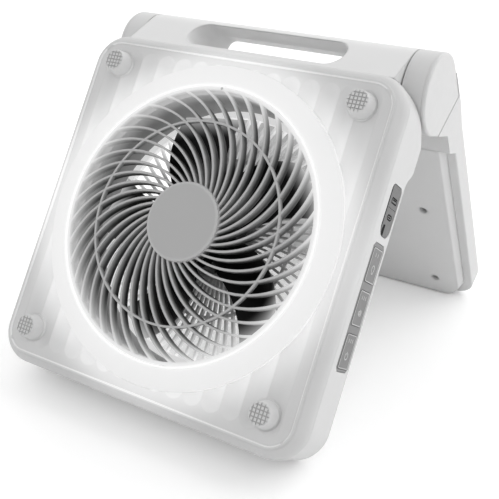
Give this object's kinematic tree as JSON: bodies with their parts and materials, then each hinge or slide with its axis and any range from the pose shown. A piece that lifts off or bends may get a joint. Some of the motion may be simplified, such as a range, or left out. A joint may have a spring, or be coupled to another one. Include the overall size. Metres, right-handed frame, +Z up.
{
  "type": "solar fan",
  "caption": "Square portable box fan with spiral grille and light ring, leaning on a solar panel that folds out from its top hinge as a rear leg.",
  "frame": {"origin": "on the floor, under the middle of the bounding box, in the leaning pose of the picture", "axes": "+Z up, the fan's face towards -Y and leaning back, +X to the right as seen from the front, along the hinge"},
  "size_m": [0.263, 0.3546, 0.2505],
  "materials": {
    "white_shell": "fine satin",
    "frosted_bezel": "frosted, lets the ring's light through",
    "light_ring": "opal diffuser, lit",
    "foot_plastic": "satin",
    "vane_grey": "satin",
    "hub_grey": "satin",
    "rear_grey": "satin",
    "duct_grey": "satin",
    "impeller_black": "smooth",
    "control_grey": "satin",
    "tray_grey": "fine grain",
    "solar_glass": "laminated cells under a clear film",
    "board_green": "solder mask",
    "steel": "plain",
    "brass": "plain",
    "black_plastic": "satin",
    "cell_sleeve": "shrink sleeve"
  },
  "bodies": {
    "fan_body": {"front_bezel": "frosted_bezel", "light_ring": "light_ring", "led_board": "board_green", "fan_duct": "duct_grey", "front_grille": "vane_grey", "hub_cap": "hub_grey", "rear_housing": "white_shell", "handle": "white_shell", "rear_grille": "rear_grey", "motor": "steel", "motor_bearings": "brass", "button_strip": "control_grey", "control_board": "board_green", "button_switches": "black_plastic", "socket_block": "black_plastic", "cover_pin": "steel", "speaker": "black_plastic", "hinge_pin_left": "steel", "hinge_pin_right": "steel", "friction_washer_left": "brass", "friction_washer_right": "brass", "case_screws": "steel", "motor_screws": "steel", "board_screws": "steel", "handle_screws": "steel", "foot_top_left": "foot_plastic", "foot_top_right": "foot_plastic", "foot_bottom_left": "foot_plastic", "foot_bottom_right": "foot_plastic"},
    "impeller_rotor": {"impeller": "impeller_black", "motor_shaft": "steel", "impeller_nut": "steel"},
    "solar_panel": {"panel_shell": "white_shell", "solar_laminate": "solar_glass", "panel_back": "tray_grey", "battery_cells": "cell_sleeve", "battery_holder": "black_plastic", "charge_board": "board_green", "hinge_cap_left": "white_shell", "hinge_cap_right": "white_shell", "panel_screws": "steel"},
    "light_key": {"button_light": "control_grey"},
    "sound_key": {"button_sound": "control_grey"},
    "fan_key": {"button_fan": "control_grey"},
    "cover": {"socket_cover": "control_grey"}
  },
  "joints": [
    {"name": "panel_fold", "type": "hinge", "parent": "fan_body", "child": "solar_panel", "pos_m": [0, 0.01126, 0.22132], "axis": [1, 0, 0], "range_deg": [-64.4, 115.6]},
    {"name": "impeller_spin", "type": "hinge", "parent": "fan_body", "child": "impeller_rotor", "pos_m": [0, -0.09192, 0.12429], "axis": [0, 0.8415, -0.5403], "continuous": true},
    {"name": "light_press", "type": "slide", "parent": "fan_body", "child": "light_key", "axis": [-1, 0, 0], "range_m": [0, 0.001], "stiffness_N_per_m": 400, "springref_m": -0.0005},
    {"name": "sound_press", "type": "slide", "parent": "fan_body", "child": "sound_key", "axis": [-1, 0, 0], "range_m": [0, 0.001], "stiffness_N_per_m": 400, "springref_m": -0.0005},
    {"name": "fan_press", "type": "slide", "parent": "fan_body", "child": "fan_key", "axis": [-1, 0, 0], "range_m": [0, 0.001], "stiffness_N_per_m": 400, "springref_m": -0.0005},
    {"name": "cover_swing", "type": "hinge", "parent": "fan_body", "child": "cover", "pos_m": [0.1288, -0.0508, 0.16705], "axis": [0, -0.8415, 0.5403], "range_deg": [0, 100]}
  ]
}
